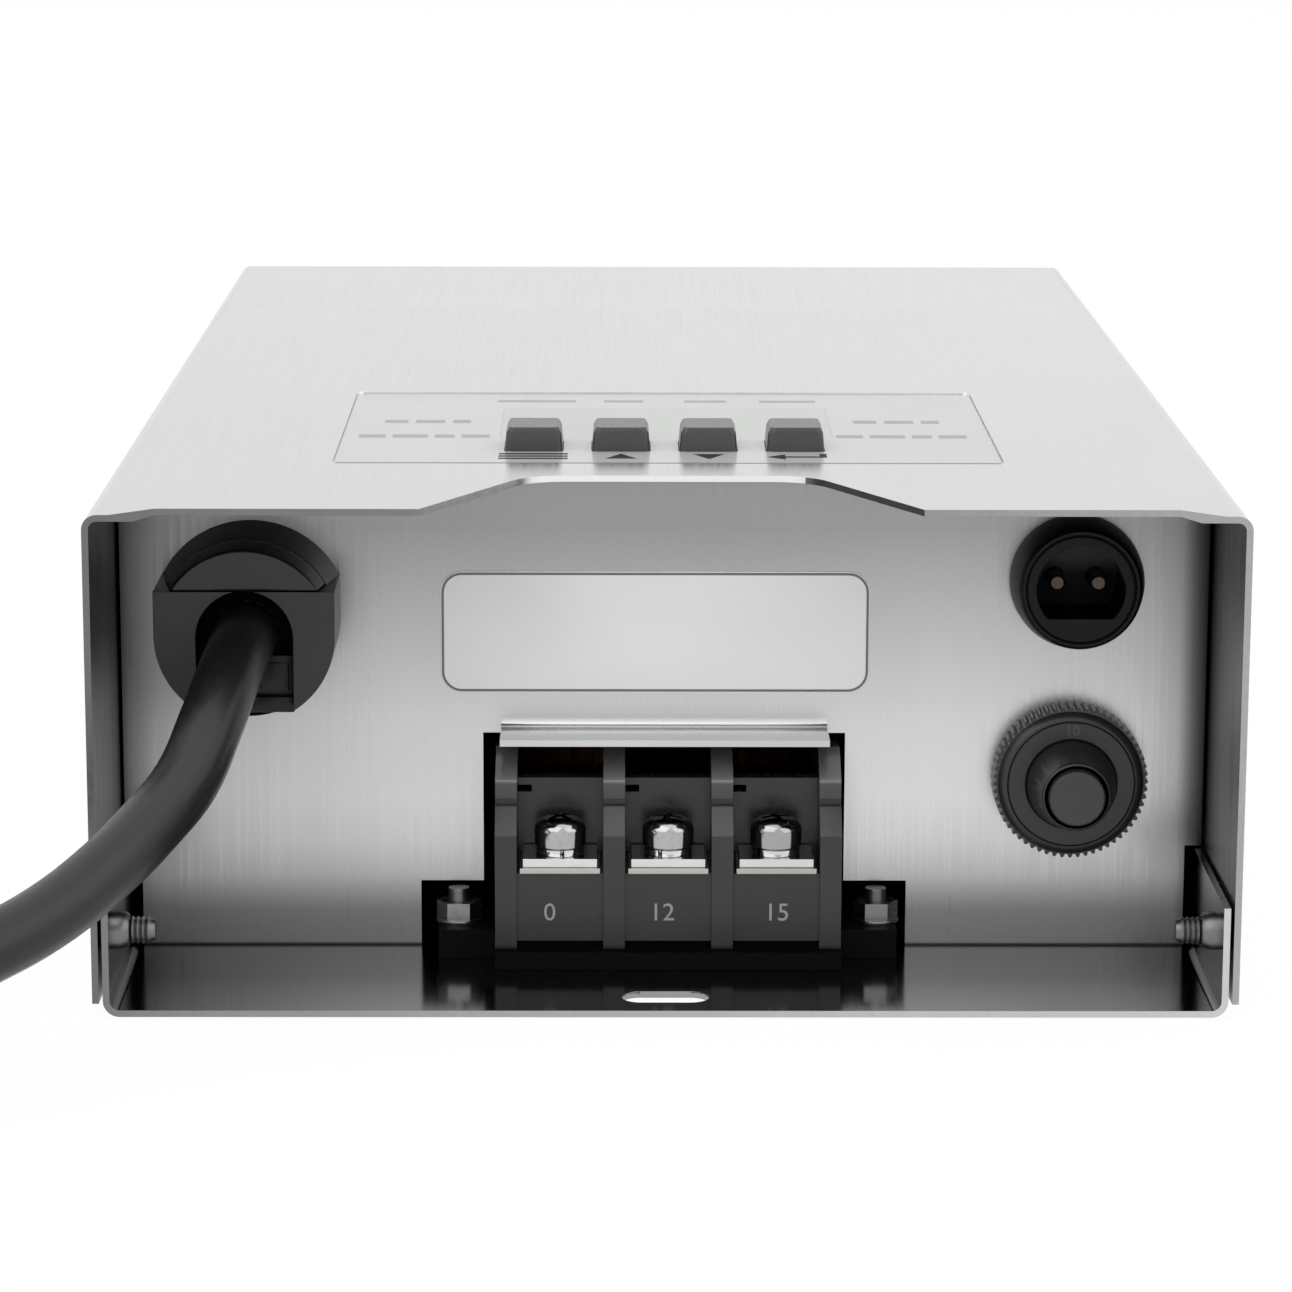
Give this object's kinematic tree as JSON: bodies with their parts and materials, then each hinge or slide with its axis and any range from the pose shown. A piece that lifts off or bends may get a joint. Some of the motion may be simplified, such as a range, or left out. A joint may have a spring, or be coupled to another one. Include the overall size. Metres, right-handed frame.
{
  "type": "low voltage landscape transformer",
  "caption": "Wall transformer for low voltage garden lights: folded steel case, open terminal bay, timer keys, sensor socket, reset breaker and a corded plug.",
  "frame": {"origin": "middle of the tray underside, on the plane that the unit lies on, cord left out", "axes": "+Z out of the wall, +Y towards the closed end that is the top on a wall, -Y towards the open terminal end"},
  "size_m": [0.2993, 0.3203, 0.0715],
  "materials": {
    "cover_steel": "fine brushed stainless steel",
    "tray_steel": "smooth stainless steel",
    "panel_steel": "brushed stainless steel",
    "zinc_steel": "bright zinc plated",
    "contact_brass": "tin plated",
    "terminal_steel": "bright nickel plated",
    "label_film": "satin film with fine ruled lines",
    "overlay_film": "satin film with plain symbols",
    "window_clear": "clear display window",
    "display_black": "display module",
    "key_rubber": "moulded key caps",
    "switch_black": "moulded switch parts",
    "board_green": "coated circuit board",
    "relay_plastic": "sealed relay case",
    "capacitor_sleeve": "shrunk sleeve",
    "block_plastic": "moulded dark grey",
    "black_plastic": "moulded black",
    "nut_plastic": "moulded black, toothed edge",
    "button_plastic": "moulded black",
    "relief_plastic": "moulded black",
    "cord_jacket": "black cord jacket",
    "plug_rubber": "moulded black",
    "plug_brass": "plain brass",
    "core_steel": "wound electrical steel",
    "winding_copper": "enamelled copper wire under film",
    "pad_rubber": "black rubber pads",
    "lead_white": "insulated wire",
    "lead_black": "insulated wire",
    "lead_grey": "insulated wire"
  },
  "bodies": {
    "housing": {"base_tray": "tray_steel", "terminal_panel": "panel_steel", "front_cover": "cover_steel", "cover_screws": "zinc_steel", "cover_nuts": "zinc_steel", "rating_label": "label_film", "keypad_overlay": "overlay_film", "display_window": "window_clear", "display_module": "display_black", "tact_switches": "switch_black", "timer_board": "board_green", "board_standoffs": "plug_brass", "board_screws": "zinc_steel", "power_relay": "relay_plastic", "board_capacitor": "capacitor_sleeve", "terminal_block": "block_plastic", "contact_plates": "contact_brass", "block_studs": "zinc_steel", "block_nuts": "zinc_steel", "breaker_body": "black_plastic", "breaker_nut": "nut_plastic", "breaker_tabs": "contact_brass", "sensor_socket": "black_plastic", "socket_pins": "plug_brass", "socket_nut": "black_plastic", "relief_body": "relief_plastic", "relief_cap": "relief_plastic", "cord_tail": "cord_jacket", "power_cord": "cord_jacket", "cord_coil": "cord_jacket", "cord_tie": "pad_rubber", "plug_body": "plug_rubber", "plug_blades": "plug_brass", "toroid_core": "core_steel", "toroid_winding": "winding_copper", "toroid_pads": "pad_rubber", "toroid_plate": "zinc_steel", "toroid_stud": "zinc_steel", "toroid_nut": "zinc_steel", "ground_stud": "plug_brass", "ground_nut": "plug_brass", "mains_leads": "lead_white", "secondary_leads": "lead_black", "breaker_leads": "lead_black", "sensor_leads": "lead_grey"},
    "menu_button": {"menu_key": "key_rubber", "menu_plunger": "switch_black"},
    "up_button": {"up_key": "key_rubber", "up_plunger": "switch_black"},
    "down_button": {"down_key": "key_rubber", "down_plunger": "switch_black"},
    "enter_button": {"enter_key": "key_rubber", "enter_plunger": "switch_black"},
    "reset": {"reset_button": "button_plastic"},
    "clamp_1": {"clamp_plate_1": "terminal_steel"},
    "screw_1": {"terminal_screw_1": "terminal_steel"},
    "clamp_2": {"clamp_plate_2": "terminal_steel"},
    "screw_2": {"terminal_screw_2": "terminal_steel"},
    "clamp_3": {"clamp_plate_3": "terminal_steel"},
    "screw_3": {"terminal_screw_3": "terminal_steel"}
  },
  "joints": [
    {"name": "menu_press", "type": "slide", "parent": "housing", "child": "menu_button", "axis": [0, 0, -1], "range_m": [0, 0.0008], "stiffness_N_per_m": 500, "springref_m": -0.0005},
    {"name": "up_press", "type": "slide", "parent": "housing", "child": "up_button", "axis": [0, 0, -1], "range_m": [0, 0.0008], "stiffness_N_per_m": 500, "springref_m": -0.0005},
    {"name": "down_press", "type": "slide", "parent": "housing", "child": "down_button", "axis": [0, 0, -1], "range_m": [0, 0.0008], "stiffness_N_per_m": 500, "springref_m": -0.0005},
    {"name": "enter_press", "type": "slide", "parent": "housing", "child": "enter_button", "axis": [0, 0, -1], "range_m": [0, 0.0008], "stiffness_N_per_m": 500, "springref_m": -0.0005},
    {"name": "reset_pop", "type": "slide", "parent": "housing", "child": "reset", "axis": [0, -1, 0], "range_m": [0, 0.003]},
    {"name": "clamp_1_lift", "type": "slide", "parent": "housing", "child": "clamp_1", "axis": [0, 0, 1], "range_m": [0, 0.003]},
    {"name": "screw_1_turn", "type": "hinge", "parent": "clamp_1", "child": "screw_1", "pos_m": [-0.0143, -0.1035, 0.017], "axis": [0, 0, 1], "range_deg": [0, 1543]},
    {"name": "clamp_2_lift", "type": "slide", "parent": "housing", "child": "clamp_2", "axis": [0, 0, 1], "range_m": [0, 0.003]},
    {"name": "screw_2_turn", "type": "hinge", "parent": "clamp_2", "child": "screw_2", "pos_m": [0.0005, -0.1035, 0.017], "axis": [0, 0, 1], "range_deg": [0, 1543]},
    {"name": "clamp_3_lift", "type": "slide", "parent": "housing", "child": "clamp_3", "axis": [0, 0, 1], "range_m": [0, 0.003]},
    {"name": "screw_3_turn", "type": "hinge", "parent": "clamp_3", "child": "screw_3", "pos_m": [0.0153, -0.1035, 0.017], "axis": [0, 0, 1], "range_deg": [0, 1543]}
  ],
  "couplings": [
    {"joint": "screw_1_turn", "follows": "clamp_1_lift", "rad_per_m": 8976},
    {"joint": "screw_2_turn", "follows": "clamp_2_lift", "rad_per_m": 8976},
    {"joint": "screw_3_turn", "follows": "clamp_3_lift", "rad_per_m": 8976}
  ]
}
